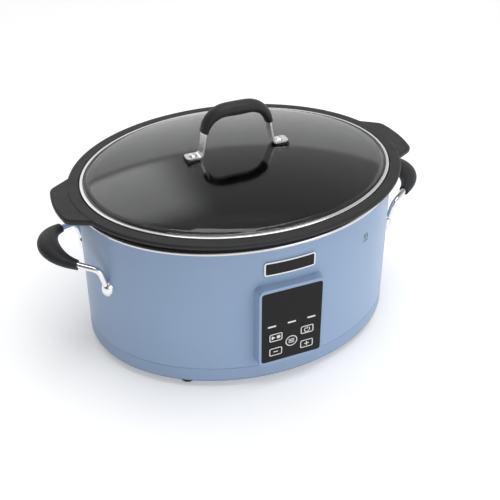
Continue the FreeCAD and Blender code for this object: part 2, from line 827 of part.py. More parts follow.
def rectangular_key(x, z):
    face, flange = key_levels()
    return key_outline(x, z, *face).fuse(key_outline(x, z, *flange)).removeSplitter()


def mode_key():
    face, flange = key_levels()
    return mode_outline(*face).fuse(mode_outline(*flange)).removeSplitter()


def control_board():
    back = BOARD_FRONT + BOARD_THICK
    return plate(-CONTROL_BOARD_X, CONTROL_BOARD_X, *CONTROL_BOARD_Z, BOARD_FRONT, back, 1.5)


def key_switches():
    """Small push switches on the control board, one behind each key."""
    places = list(key_places().values()) + [(0, KEY_MIDDLE_Z)]
    switches = []
    for x, z in places:
        body = box(x - 3, x + 3, BOARD_FRONT - SWITCH_TALL + 0.9, BOARD_FRONT, z - 3, z + 3)
        tip = Vector(x, BOARD_FRONT - SWITCH_TALL, z)
        switches.append(body.fuse(cylinder(1.6, tip, Vector(x, BOARD_FRONT - 1, z))))
    return Part.makeCompound(switches)


def display_module():
    front = PANEL_FRONT + WINDOW_THICK + 0.3
    return box(-DISPLAY_X, DISPLAY_X, front, BOARD_FRONT, *DISPLAY_Z)


def indicator_lamps():
    lamps = []
    front = PANEL_FRONT + WINDOW_THICK + 0.4
    for x in (-LED_X, 0, LED_X):
        lamps.append(cylinder(LAMP_RADIUS, Vector(x, front, LED_Z), Vector(x, BOARD_FRONT, LED_Z)))
    return Part.makeCompound(lamps)


def badge_block(near, far, shrink):
    """Curved block that follows the housing wall between two distances from it."""
    face = plate(-BADGE_X + shrink, BADGE_X - shrink, BADGE_Z[0] + shrink, BADGE_Z[1] - shrink,
                 PANEL_FRONT - 5, CAVITY_BACK, BADGE_ROUND - shrink)
    sleeve = tub(SHELL, -far, BADGE_Z[0] - 2, BADGE_Z[1] + 2)
    sleeve = sleeve.cut(tub(SHELL, -near, BADGE_Z[0] - 3, BADGE_Z[1] + 3))
    return face.common(sleeve)


def badge_frame():
    return badge_block(0, BADGE_PROUD, 0).cut(badge_block(0.5, 9, BADGE_FRAME))


def badge_plate():
    return badge_block(0.5, BADGE_PROUD - 0.5, BADGE_FRAME)


# Pot ----------------------------------------------------------------------------------------


def pot_cup(outset):
    """Block the shape of the pot cavity, grown outward by the outset."""
    foot_inset = WELL_FOOT_INSET + POT_GAP + POT_WALL
    top_inset = WELL_TOP_INSET + POT_GAP + POT_WALL
    radius = BOTTOM_ROUND - POT_WALL
    bend_z = POT_FLOOR + POT_WALL + radius
    bend = arc_levels(foot_inset + radius, bend_z, radius + outset, -90, 0)
    return stack(RIM, bend + [(top_inset - outset, LEDGE + 2)])


def pot_ear():
    """Lifting ear at the right-hand end, sloping gently down."""
    z = RIM_TOP - EAR_THICK
    front_root = Vector(EAR_ROOT_X, -EAR_ROOT_Y, z)
    front = Vector(EAR_CORNER_X, -EAR_CORNER_Y, z)
    tip = Vector(EAR_TIP_X, 0, z)
    back = Vector(EAR_CORNER_X, EAR_CORNER_Y, z)
    back_root = Vector(EAR_ROOT_X, EAR_ROOT_Y, z)
    edges = [line(front_root, front), arc(front, tip, back), line(back, back_root)]
    edges.append(line(back_root, front_root))
    ear = Part.Face(Part.Wire(edges)).extrude(Vector(0, 0, EAR_THICK))
    corners = [e for e in ear.Edges if abs(e.tangentAt(e.FirstParameter).z) > 0.9
               and e.CenterOfMass.x > EAR_ROOT_X + 5]
    ear = ear.makeFillet(EAR_CORNER_ROUND, corners)
    rims = [e for e in ear.Edges if abs(e.tangentAt(e.FirstParameter).z) < 0.1
            and e.CenterOfMass.x > EAR_ROOT_X + 1]
    ear = ear.makeFillet(RIM_ROUND, rims)
    ear.rotate(Vector(EAR_ROOT_X, 0, RIM_TOP), Vector(0, 1, 0), EAR_DROOP)
    return ear


def cooking_pot():
    """Cast pot with a wide rim, a lid ledge, a collar that sits on the ring, and ears."""
    under = RIM_TOP - RIM_THICK
    rim_levels = arc_levels(RIM_ROUND, under + RIM_ROUND, RIM_ROUND, -90, 0)
    rim_levels += arc_levels(RIM_ROUND, RIM_TOP - RIM_ROUND, RIM_ROUND, 0, 90)
    pot = pot_cup(POT_WALL).fuse(stack(RIM, rim_levels))
    pot = pot.fuse(tub(RIM, COLLAR_INSET, RING_TOP, RIM_TOP - 2))
    ear = pot_ear()
    pot = pot.fuse(ear).fuse(opposite(ear))
    pot = pot.cut(tub(LID, -LID_GAP, LEDGE, RIM_TOP + 9))
    return pot.cut(pot_cup(0)).removeSplitter()


# Lid ----------------------------------------------------------------------------------------


def glass_height(share):
    """Rise of the glass above its flat edge. The share is 1 at the edge, 0 in the middle."""
    climb = min(max((SHOULDER_OUT - share) / (SHOULDER_OUT - SHOULDER_IN), 0.0), 1.0)
    shoulder = climb * climb * (3 - 2 * climb)
    inner = min(share / SHOULDER_OUT, 1.0)
    return SHOULDER_RISE * shoulder + DOME_RISE * (1 - inner * inner)


def glass_block(edge_z, drop):
    """Block under the glass surface, from the drop below its edge."""
    shares = [1.0]
    for step in range(SHOULDER_STEPS):
        shares.append(SHOULDER_OUT + (SHOULDER_IN - SHOULDER_OUT) * step / SHOULDER_STEPS)
    for step in range(DOME_STEPS):
        shares.append(SHOULDER_IN * (1 - step / DOME_STEPS))
    shares.append(0.02)
    edge = (LID[0] - BAND_WALL, LID[1] - BAND_WALL)
    wires = [oval(edge, 0, edge_z - drop)]
    for share in shares:
        size = (edge[0] * share, edge[1] * share)
        wires.append(oval(size, 0, edge_z + glass_height(share)))
    return Part.makeLoft(wires, True, True)


def lid_glass():
    """Domed pane of even thickness with two screw holes."""
    edge_z = LEDGE + BAND_WALL + GLASS_THICK
    pane = glass_block(edge_z, GLASS_THICK)
    pane = pane.cut(glass_block(edge_z - GLASS_THICK, 5.0))
    for x in (-LID_SCREW_X, LID_SCREW_X):
        pane = pane.cut(cylinder(2.6, Vector(x, 0, LEDGE), Vector(x, 0, HEIGHT)))
    return pane


def lid_band():
    """Steel band folded over the edge of the glass."""
    top = LEDGE + GLASS_THICK + 2 * BAND_WALL
    rounding = arc_levels(1.2, top - 1.2, 1.2, 0, 90)
    band = stack(LID, arc_levels(1.2, LEDGE + 1.2, 1.2, -90, 0) + rounding)
    band = band.cut(tub(LID, BAND_WALL, LEDGE + BAND_WALL, top - BAND_WALL))
    return band.cut(tub(LID, BAND_LIP, LEDGE - 1, top + 1))


def strap_points():
    top = HEIGHT - LID_GRIP_THICK / 2
    points = [Vector(-STRAP_END_X, 0, STRAP_FOOT_Z), Vector(-STRAP_BEND_X, 0, STRAP_FOOT_Z)]
    points += [Vector(-STRAP_TOP_X, 0, top), Vector(STRAP_TOP_X, 0, top)]
    points += [Vector(STRAP_BEND_X, 0, STRAP_FOOT_Z), Vector(STRAP_END_X, 0, STRAP_FOOT_Z)]
    return points


def strap_path():
    """Edges of the bent strap, from foot to foot."""
    points = strap_points()
    edges = []
    start = points[0]
    for index, radius in ((1, STRAP_FOOT_RADIUS), (2, STRAP_TOP_RADIUS),
                          (3, STRAP_TOP_RADIUS), (4, STRAP_FOOT_RADIUS)):
        first, middle, last = corner(points[index - 1], points[index], points[index + 1], radius)
        edges.append(line(start, first))
        edges.append(arc(first, middle, last))
        start = last
    edges.append(line(start, points[-1]))
    return edges


def lid_handle_strap():
    """Flat bar bent into a bridge with a foot at each end."""
    half = STRAP_WIDE / 2
    thin = STRAP_THICK / 2
    start = strap_points()[0]
    corners = [(-half, -thin), (half, -thin), (half, thin), (-half, thin), (-half, -thin)]
    profile = Part.makePolygon([start + Vector(0, y, z) for y, z in corners])
    strap = pipe(strap_path(), profile)
    for x in (-LID_SCREW_X, LID_SCREW_X):
        strap = strap.cut(cylinder(LID_HOLE_RADIUS, Vector(x, 0, LEDGE), Vector(x, 0, STRAP_FOOT_Z + 5)))
    ends = [e for e in strap.Edges if abs(e.tangentAt(e.FirstParameter).z) > 0.9
            and abs(e.CenterOfMass.x) > STRAP_END_X - 0.1]
    return strap.makeFillet(3.5, ends)


def lid_grip_half():
    """Edges along the middle of the left half of the lid grip."""
    points = strap_points()
    first, middle, last = corner(points[1], points[2], points[3], STRAP_TOP_RADIUS)
    share = (LID_GRIP_START_Z - STRAP_FOOT_Z) / (points[2].z - STRAP_FOOT_Z)
    start = points[1] + (points[2] - points[1]) * share
    return [line(start, first), arc(first, middle, last), line(last, Vector(0, 0, last.z))]


def place_along(edges, distance):
    """Point and direction at a distance along joined edges."""
    for edge in edges:
        if distance <= edge.Length + 1e-6:
            break
        distance -= edge.Length
    spot = edge.getParameterByLength(min(distance, edge.Length))
    return edge.valueAt(spot), edge.tangentAt(spot)


def lid_grip(strap):
    """Soft sleeve over the top of the strap."""
    edges = lid_grip_half()
    total = sum(edge.Length for edge in edges)
    left = []
    for step in range(LID_GRIP_STEPS + 1):
        point, tangent = place_along(edges, total * step / LID_GRIP_STEPS)
        left.append((point, tangent, swell(step / LID_GRIP_STEPS / 2)))
    right = [(Vector(-p.x, 0, p.z), Vector(t.x, 0, -t.z), full) for p, t, full in left[-2::-1]]
    wires = []
    across = Vector(0, 1, 0)
    for point, tangent, full in left + right:
        half_wide = (LID_GRIP_END_WIDE + (LID_GRIP_WIDE - LID_GRIP_END_WIDE) * full) / 2
        half_thick = (LID_GRIP_END_THICK + (LID_GRIP_THICK - LID_GRIP_END_THICK) * full) / 2
        up = tangent.cross(across).normalize()
        wires.append(ellipse_at(point, across, up, half_wide, half_thick))
    return Part.makeLoft(wires, True, False).cut(strap)


def glass_top_at(x):
    """Height of the glass on the long axis."""
    share = abs(x) / (LID[0] - BAND_WALL)
    return LEDGE + BAND_WALL + GLASS_THICK + glass_height(share)


def lid_handle_gaskets():
    """Soft pads between the strap feet and the glass."""
    pads = []
    under = STRAP_FOOT_Z - STRAP_THICK / 2
    middle = (STRAP_END_X + STRAP_BEND_X + 3) / 2
    long = (STRAP_END_X - STRAP_BEND_X - 3) / 2
    edge_z = LEDGE + BAND_WALL + GLASS_THICK
    for side in (-1, 1):
        x = side * middle
        pad = box(x - long, x + long, -7.5, 7.5, under - 8, under)
        pad = pad.cut(glass_block(edge_z, GLASS_THICK))
        pads.append(pad.cut(cylinder(LID_HOLE_RADIUS, Vector(side * LID_SCREW_X, 0, LEDGE),
                                     Vector(side * LID_SCREW_X, 0, HEIGHT))))
    return Part.makeCompound(pads)


def lid_handle_screws():
    screws = []
    top = STRAP_FOOT_Z + STRAP_THICK / 2
    for x in (-LID_SCREW_X, LID_SCREW_X):
        head = Part.makeSphere(6.2, Vector(x, 0, top - 3.9))
        head = head.common(box(x - 6, x + 6, -6, 6, top, top + 5))
        for long, wide in ((3.4, 0.8), (0.8, 3.4)):
            head = head.cut(box(x - long / 2, x + long / 2, -wide / 2, wide / 2, top + 1.1, top + 4))
        low = glass_top_at(x) - GLASS_THICK - 6
        shank = cylinder(LID_SCREW_RADIUS, Vector(x, 0, low), Vector(x, 0, top))
        screws.append(head.fuse(shank))
    return Part.makeCompound(screws)


def lid_handle_nuts():
    """Washer-faced nuts under the glass."""
    nuts = []
    for x in (-LID_SCREW_X, LID_SCREW_X):
        top = glass_top_at(x) - GLASS_THICK - 0.7
        nut = cylinder(6.0, Vector(x, 0, top - 1.2), Vector(x, 0, top))
        nut = nut.fuse(cylinder(4.0, Vector(x, 0, top - 4.2), Vector(x, 0, top - 1)))
        nuts.append(nut.cut(cylinder(LID_SCREW_RADIUS, Vector(x, 0, top - 9), Vector(x, 0, top + 1))))
    return Part.makeCompound(nuts)


def all_parts():
    """Every sub-part by name."""
    rod = handle_rod()
    grip = side_grip(rod)
    strap = lid_handle_strap()
    feet = [rubber_foot(x, y) for x, y in foot_places()]
    parts = {
        "outer_shell": outer_shell(),
        "base_pan": base_pan(),
        "top_ring": top_ring(),
        "heating_well": heating_well(),
        "heater_band": heater_band(),
        "insulation_wrap": insulation_wrap(),
        "tie_bolts": tie_bolts(),
        "tie_nuts": tie_nuts(),
        "temperature_sensor": sensor(),
        "sensor_bracket": sensor_bracket(),
        "thermal_fuse": thermal_fuse(),
        "fuse_clip": fuse_clip(),
        "power_board": power_board(),
        "board_screws": board_screws(),
        "transformer": transformer(),
        "relay": relay(),
        "terminal_block": terminal_block(),
        "ribbon_cable": ribbon_cable(),
        "heater_leads": heater_leads(),
        "cord_gland": cord_gland(),
        "rubber_feet": Part.makeCompound(feet),
        "foot_screws": foot_screws(),
        "right_handle_rod": rod,
        "left_handle_rod": opposite(rod),
        "right_handle_grip": grip,
        "left_handle_grip": opposite(grip),
        "handle_screws": handle_screws(),
        "handle_washers": handle_washers(),
        "panel_bezel": panel_bezel(),
        "panel_window": panel_window(),
        "mode_button": mode_key(),
        "control_board": control_board(),
        "key_switches": key_switches(),
        "display_module": display_module(),
        "indicator_lamps": indicator_lamps(),
        "badge_frame": badge_frame(),
        "badge_plate": badge_plate(),
        "cooking_pot": cooking_pot(),
        "lid_glass": lid_glass(),
        "lid_band": lid_band(),
        "lid_handle_strap": strap,
        "lid_handle_grip": lid_grip(strap),
        "lid_handle_gaskets": lid_handle_gaskets(),
        "lid_handle_screws": lid_handle_screws(),
        "lid_handle_nuts": lid_handle_nuts(),
    }
    for name, (x, z) in key_places().items():
        parts[name] = rectangular_key(x, z)
    return parts


os.makedirs("parts", exist_ok=True)
for name, shape in all_parts().items():
    shape.exportStep(os.path.join("parts", name + ".step"))
    print(name, shape.isValid(), len(shape.Solids), round(shape.Volume), "mm3")
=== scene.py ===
import math

import bpy
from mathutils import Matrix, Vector


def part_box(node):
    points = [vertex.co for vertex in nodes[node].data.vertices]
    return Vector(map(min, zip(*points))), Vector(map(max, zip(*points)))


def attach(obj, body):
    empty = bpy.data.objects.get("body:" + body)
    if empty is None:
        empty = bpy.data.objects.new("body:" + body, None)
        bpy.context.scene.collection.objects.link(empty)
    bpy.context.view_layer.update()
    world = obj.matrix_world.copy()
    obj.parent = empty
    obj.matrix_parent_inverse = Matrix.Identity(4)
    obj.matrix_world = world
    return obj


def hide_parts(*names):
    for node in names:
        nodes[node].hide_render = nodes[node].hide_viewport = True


# Oval slow cooker. Metres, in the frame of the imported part.

MM = 0.001

# Camera
CAMERA_AZIMUTH = -22.9  # degrees round the object, from the front
CAMERA_ELEVATION = 34.2
CAMERA_DISTANCE = 1.15
CAMERA_TARGET = Vector((0.0161, 0.0, 0.0788))
CAMERA_LENS = 68.1
SENSOR_WIDTH = 36.0

# Studio
FLOOR_SIZE = 14.0
FLOOR_COLOUR = (0.93, 0.93, 0.93)
FLOOR_GLOW = 0.30  # the floor is lit through from below, as on a light table
# Brightness of the surroundings by the sine of the elevation: pale walls, darker ceiling
SURROUNDINGS = ((0.0, 0.98), (0.42, 0.92), (0.455, 0.52), (0.70, 0.38), (0.92, 0.28))
SHADE_SIDE = (-0.80, 0.0)  # the surroundings fall off toward -X between these
SHADE_LEVEL = 0.12
# Pale card behind and above the left of the lid, as a box of directions with soft edges
CARD_X = (0.22, 0.08)
CARD_Y = (0.20, 0.45)
CARD_Z = (0.44, 0.50, 0.74, 0.86)
CARD_LEVEL = 1.1

# Soft boxes: name, place, what they face, width, height, watts
SOFT_BOXES = (
    ("overhead", (0.2, -0.2, 2.6), (0.0, 0.0, 0.0), 2.0, 2.0, 36.0),
    ("front_key", (1.4, -2.6, 1.1), (0.0, 0.0, 0.1), 1.6, 1.6, 8.0),
)

# Printed marks on the panel, in metres
PRINT_PROUD = 0.05 * MM
PRINT_DEPTH = 0.05 * MM
LINE = 1.1 * MM
KEY_CORNER = 2.2 * MM
KEY_INSET = 0.5 * MM
KEY_WIDE = 16.4 * MM
KEY_TALL = 11.6 * MM
MODE_RADIUS = 7.6 * MM
BAR_CORNER = 0.25  # corner radius of a bar, as a share of its narrow side
LEAST_CORNER = 0.1 * MM
CORNER_STEPS = 8
CIRCLE_STEPS = 48
LABEL_WIDE = 9.6 * MM
LABEL_TALL = 2.1 * MM
LABEL_Z = 86.0 * MM
LABEL_X = 23.5 * MM

# Icons on the keys
PLAY_X = -2.9 * MM
PLAY_BACK = 2.2 * MM
PLAY_TIP = 2.3 * MM
PLAY_HALF = 2.6 * MM
STOP_X = 3.1 * MM
STOP_SIDE = 4.2 * MM
POWER_RADIUS = 3.1 * MM
POWER_DROP = 0.3 * MM
POWER_ARC = (125.0, 415.0)  # degrees, leaving a gap at the top
POWER_LINE = 1.0 * MM
POWER_STROKE = 3.2 * MM
POWER_STROKE_UP = 1.9 * MM
MINUS_WIDE = 5.6 * MM
MINUS_TALL = 1.2 * MM
PLUS_ARM = 2.8 * MM
PLUS_HALF = 0.6 * MM
STROKE_APART = 2.1 * MM
STROKE_WIDE = 7.0 * MM
STROKE_TALL = 1.0 * MM

# Hot-surface sign on the wall
WARNING_ANGLE = -55.5  # degrees round the oval, from +X
WARNING_Z = 150.0 * MM
WAVE_TALL = 7.4 * MM
WAVE_APART = 2.9 * MM
WAVE_SWAY = 0.7 * MM
WAVE_LINE = 1.3 * MM
WAVE_STEPS = 12
WARNING_BAR_DROP = 0.8  # bar under the waves, as a share of their height
WARNING_BAR_WIDE = 3.2  # and its width, as a share of their spacing

# Lid glass, as shares of its half size and heights
GLASS_THICK = 4.0 * MM
SHOULDER_OUT = 0.972
SHOULDER_IN = 0.942
SHOULDER_RISE = 2.0 * MM
DOME_RISE = 19.0 * MM
SHOULDER_RINGS = 12
DOME_RINGS = 24
GLASS_STEPS = 144

# Colours and shading
PAINT_BLUE = (0.315, 0.432, 0.625)
NOISE_LOW = 0.3  # nearly all noise values lie between these two
NOISE_HIGH = 0.7
# Painted shade along the foot of the blue base: heights over which it eases off, and the colour
# factor under them
BASE_PAINTED_SHADE_Z = (9.0 * MM, 12.5 * MM)
BASE_PAINTED_SHADE = 0.55
# Painted shade along the foot of the top ring's bead: heights over which it eases off, and the colour
# factor under them
RING_PAINTED_SHADE_Z = (178.4 * MM, 180.0 * MM)
RING_PAINTED_SHADE = 0.45

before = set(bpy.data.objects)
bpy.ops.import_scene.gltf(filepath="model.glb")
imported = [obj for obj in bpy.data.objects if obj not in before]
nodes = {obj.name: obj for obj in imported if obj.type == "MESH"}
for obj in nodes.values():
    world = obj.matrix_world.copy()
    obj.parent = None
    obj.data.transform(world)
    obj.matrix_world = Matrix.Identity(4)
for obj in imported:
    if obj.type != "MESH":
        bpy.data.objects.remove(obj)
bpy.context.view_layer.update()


# ---------------------------------------------------------------- materials

def surface(name, colour, roughness, metallic=0.0):
    """New material holding one Principled shader. Returns the material and the shader."""
    material = bpy.data.materials.new(name)
    material.use_nodes = True
    shader = material.node_tree.nodes["Principled BSDF"]
    shader.inputs["Base Color"].default_value = (*colour, 1.0)
    shader.inputs["Roughness"].default_value = roughness
    shader.inputs["Metallic"].default_value = metallic
    return material, shader


def noise(material, scale, detail=4.0, stretch=(1.0, 1.0, 1.0)):
    """Noise fixed to the piece. The scale is in features per metre."""
    tree = material.node_tree
    place = tree.nodes.new("ShaderNodeTexCoord")
    mapping = tree.nodes.new("ShaderNodeMapping")
    mapping.inputs["Scale"].default_value = stretch
    texture = tree.nodes.new("ShaderNodeTexNoise")
    texture.inputs["Scale"].default_value = scale
    texture.inputs["Detail"].default_value = detail
    tree.links.new(place.outputs["Object"], mapping.inputs["Vector"])
    tree.links.new(mapping.outputs["Vector"], texture.inputs["Vector"])
    return texture.outputs["Fac"]


def cells(material, scale, stretch=(1.0, 1.0, 1.0)):
    """Cell pattern fixed to the piece, one random value in each cell."""
    tree = material.node_tree
    place = tree.nodes.new("ShaderNodeTexCoord")
    mapping = tree.nodes.new("ShaderNodeMapping")
    mapping.inputs["Scale"].default_value = stretch
    texture = tree.nodes.new("ShaderNodeTexVoronoi")
    texture.inputs["Scale"].default_value = scale
    split = tree.nodes.new("ShaderNodeSeparateColor")
    tree.links.new(place.outputs["Object"], mapping.inputs["Vector"])
    tree.links.new(mapping.outputs["Vector"], texture.inputs["Vector"])
    tree.links.new(texture.outputs["Color"], split.inputs["Color"])
    return split.outputs["Red"]


def ramp(material, value, low, high, first, last):
    """Turns a value between low and high into a colour between first and last."""
    tree = material.node_tree
    node = tree.nodes.new("ShaderNodeValToRGB")
    node.color_ramp.elements[0].position = low
    node.color_ramp.elements[1].position = high
    node.color_ramp.elements[0].color = (*first, 1.0)
    node.color_ramp.elements[1].color = (*last, 1.0)
    tree.links.new(value, node.inputs["Fac"])
    return node.outputs["Color"]


def spread(material, value, low, high):
    """Turns a value between NOISE_LOW and NOISE_HIGH into low to high."""
    tree = material.node_tree
    node = tree.nodes.new("ShaderNodeMapRange")
    node.inputs["From Min"].default_value = NOISE_LOW
    node.inputs["From Max"].default_value = NOISE_HIGH
    node.inputs["To Min"].default_value = low
    node.inputs["To Max"].default_value = high
    tree.links.new(value, node.inputs["Value"])
    return node.outputs["Result"]


def vary_colour(material, value, dark, light, low=0.35, high=0.65):
    shader = material.node_tree.nodes["Principled BSDF"]
    colour = ramp(material, value, low, high, dark, light)
    material.node_tree.links.new(colour, shader.inputs["Base Color"])


def vary_roughness(material, value, low, high):
    shader = material.node_tree.nodes["Principled BSDF"]
    material.node_tree.links.new(spread(material, value, low, high), shader.inputs["Roughness"])


def bumps(material, values, strength, depth):
    """Bump from several patterns added together. The depth is in metres."""
    tree = material.node_tree
    shader = tree.nodes["Principled BSDF"]
    total = values[0]
    for value in values[1:]:
        add = tree.nodes.new("ShaderNodeMath")
        tree.links.new(total, add.inputs[0])
        tree.links.new(value, add.inputs[1])
        total = add.outputs["Value"]
    bump = tree.nodes.new("ShaderNodeBump")
    bump.inputs["Strength"].default_value = strength
    bump.inputs["Distance"].default_value = depth
    tree.links.new(total, bump.inputs["Height"])
    tree.links.new(bump.outputs["Normal"], shader.inputs["Normal"])


def multiply_colour(material, factor):
    """Multiplies the base colour by the value or colour of a socket."""
    tree = material.node_tree
    base = tree.nodes["Principled BSDF"].inputs["Base Color"]
    product = tree.nodes.new("ShaderNodeMix")
    product.data_type = "RGBA"
    product.blend_type = "MULTIPLY"
    product.inputs["Factor"].default_value = 1.0
    if base.is_linked:
        tree.links.new(base.links[0].from_socket, product.inputs["A"])
    else:
        product.inputs["A"].default_value = base.default_value
    tree.links.new(factor, product.inputs["B"])
    tree.links.new(product.outputs["Result"], base)


def darker_below(material, low, high, factor):
    """Painted shade: multiplies the colour by the factor under the low height, easing off up to the
    high one.
    """
    tree = material.node_tree
    place = tree.nodes.new("ShaderNodeTexCoord")
    split = tree.nodes.new("ShaderNodeSeparateXYZ")
    tree.links.new(place.outputs["Object"], split.inputs["Vector"])
    rise = tree.nodes.new("ShaderNodeMapRange")
    rise.inputs["From Min"].default_value = low
    rise.inputs["From Max"].default_value = high
    rise.inputs["To Min"].default_value = factor
    tree.links.new(split.outputs["Z"], rise.inputs["Value"])
    multiply_colour(material, rise.outputs["Result"])


def scaled(colour, factor):
    return tuple(channel * factor for channel in colour)


def satin_paint():
    """Light blue satin enamel with a faint orange peel and slight cloudiness."""
    blue = PAINT_BLUE
    material, shader = surface("shell_paint", blue, 0.34)
    shader.inputs["Specular IOR Level"].default_value = 0.28
    shader.inputs["Coat Weight"].default_value = 0.06
    shader.inputs["Coat Roughness"].default_value = 0.22
    vary_colour(material, noise(material, 9.0), scaled(blue, 0.985), scaled(blue, 1.015))
    vary_roughness(material, noise(material, 40.0, 6.0), 0.30, 0.38)
    bumps(material, [noise(material, 900.0, 2.0)], 0.10, 0.05 * MM)
    return material


def moulded_blue(name, factor):
    """Blue moulded plastic with a fine spark-eroded grain, and painted shade near the floor."""
    blue = scaled(PAINT_BLUE, factor)
    material, shader = surface(name, blue, 0.42)
    shader.inputs["Specular IOR Level"].default_value = 0.4
    vary_colour(material, noise(material, 30.0), scaled(blue, 0.98), scaled(blue, 1.02))
    # painted shade: the colour darkens toward the foot of the base
    darker_below(material, *BASE_PAINTED_SHADE_Z, BASE_PAINTED_SHADE)
    vary_roughness(material, noise(material, 120.0, 6.0), 0.38, 0.48)
    bumps(material, [noise(material, 2600.0, 3.0)], 0.16, 0.05 * MM)
    return material


def polished(name, colour, low, high, smudge_scale):
    """Polished metal with faint wipe marks."""
    material = surface(name, colour, low, 1.0)[0]
    smudges = noise(material, smudge_scale, 6.0)
    vary_roughness(material, smudges, low, high)
    fine = noise(material, 3000.0, 2.0, (1.0, 1.0, 0.15))
    bumps(material, [fine], 0.03, 0.02 * MM)
    return material


def spangled(name, colour, cell_scale):
    """Coated sheet steel with crystal-like spangle."""
    material = surface(name, colour, 0.34, 1.0)[0]
    vary_colour(material, cells(material, cell_scale), scaled(colour, 0.86), colour, 0.0, 1.0)
    vary_roughness(material, noise(material, 60.0, 5.0), 0.26, 0.42)
    bumps(material, [noise(material, 1500.0, 3.0)], 0.08, 0.04 * MM)
    return material


def cast_coating():
    """Charcoal non-stick coating: matt, with fine pale specks and a cast grain."""
    charcoal = (0.0187, 0.0187, 0.0195)
    material, shader = surface("pot_coating", charcoal, 0.50)
    shader.inputs["Specular IOR Level"].default_value = 0.34
    specks = noise(material, 2600.0, 1.0)
    vary_colour(material, specks, charcoal, (0.045, 0.045, 0.047), 0.60, 0.72)
    vary_roughness(material, noise(material, 70.0, 5.0), 0.44, 0.56)
    bumps(material, [noise(material, 1500.0, 3.0)], 0.06, 0.03 * MM)
    return material


def soft_rubber(name, colour, roughness, grain):
    """Matt moulded rubber or silicone with a soft sheen."""
    material, shader = surface(name, colour, roughness)
    shader.inputs["Specular IOR Level"].default_value = 0.30
    shader.inputs["Sheen Weight"].default_value = 0.04
    shader.inputs["Sheen Roughness"].default_value = 0.5
    vary_colour(material, noise(material, 90.0, 5.0), scaled(colour, 0.9), scaled(colour, 1.12))
    vary_roughness(material, noise(material, 160.0, 5.0), roughness - 0.05, roughness + 0.06)
    bumps(material, [noise(material, grain, 3.0)], 0.18, 0.05 * MM)
    return material


def plain_plastic(name, colour, roughness):
    """Moulded plastic with a fine grain and slight mottling."""
    material = surface(name, colour, roughness)[0]
    vary_colour(material, noise(material, 200.0, 4.0), scaled(colour, 0.92), scaled(colour, 1.08))
    vary_roughness(material, noise(material, 300.0, 4.0), roughness - 0.05, roughness + 0.05)
    bumps(material, [noise(material, 2500.0, 2.0)], 0.10, 0.04 * MM)
    return material


def gloss_black(name, colour, roughness):
    """Back-printed acrylic: deep black under a clear hard coat with faint wipe marks."""
    material, shader = surface(name, colour, 0.25)
    shader.inputs["Specular IOR Level"].default_value = 0.18
    shader.inputs["Coat Weight"].default_value = 0.05
    shader.inputs["Coat Roughness"].default_value = 0.05
    vary_roughness(material, noise(material, 50.0, 6.0), roughness, roughness + 0.10)
    vary_colour(material, noise(material, 4000.0, 1.0), scaled(colour, 0.85), scaled(colour, 1.15))
    return material


def tempered_glass():
    """Grey-tinted tempered glass with a slightly uneven polish."""
    material, shader = surface("lid_glass", (0.60, 0.61, 0.62), 0.0)
    shader.inputs["IOR"].default_value = 1.52
    shader.inputs["Transmission Weight"].default_value = 1.0
    vary_roughness(material, noise(material, 25.0, 5.0), 0.0, 0.03)
    return material


def woven_insulation():
    """Glass-fibre mat: off-white fibres with a coarse nap."""
    material = surface("insulation", (0.72, 0.69, 0.58), 0.9)[0]
    fibres = noise(material, 900.0, 8.0, (1.0, 1.0, 6.0))
    vary_colour(material, fibres, (0.58, 0.55, 0.44), (0.82, 0.80, 0.72))
    bumps(material, [fibres, noise(material, 200.0, 4.0)], 0.6, 0.4 * MM)
    return material


def circuit_board():
    """Green solder mask with copper tracks showing faintly through."""
    green = (0.012, 0.14, 0.055)
    material = surface("circuit_board", green, 0.32)[0]
    tracks = cells(material, 450.0)
    vary_colour(material, tracks, green, (0.03, 0.24, 0.10), 0.45, 0.55)
    bumps(material, [tracks], 0.15, 0.04 * MM)
    return material


def translucent_lens():
    """Frosted lamp lens."""
    material, shader = surface("lamp_lens", (0.85, 0.25, 0.18), 0.35)
    shader.inputs["Transmission Weight"].default_value = 0.4
    vary_colour(material, noise(material, 800.0), (0.80, 0.20, 0.14), (0.90, 0.32, 0.24))
    return material


def white_ink():
    """Screen-printed white ink, slightly uneven."""
    material = surface("white_ink", (0.86, 0.86, 0.86), 0.4)[0]
    vary_colour(material, noise(material, 1800.0), (0.78, 0.78, 0.78), (0.90, 0.90, 0.90))
    vary_roughness(material, noise(material, 900.0), 0.35, 0.48)
    return material


def studio_floor():
    """Pale matt floor, faintly lit through."""
    material, shader = surface("studio_floor", FLOOR_COLOUR, 0.75)
    shader.inputs["Specular IOR Level"].default_value = 0.1
    shader.inputs["Emission Color"].default_value = (1.0, 1.0, 1.0, 1.0)
    shader.inputs["Emission Strength"].default_value = FLOOR_GLOW
    return material


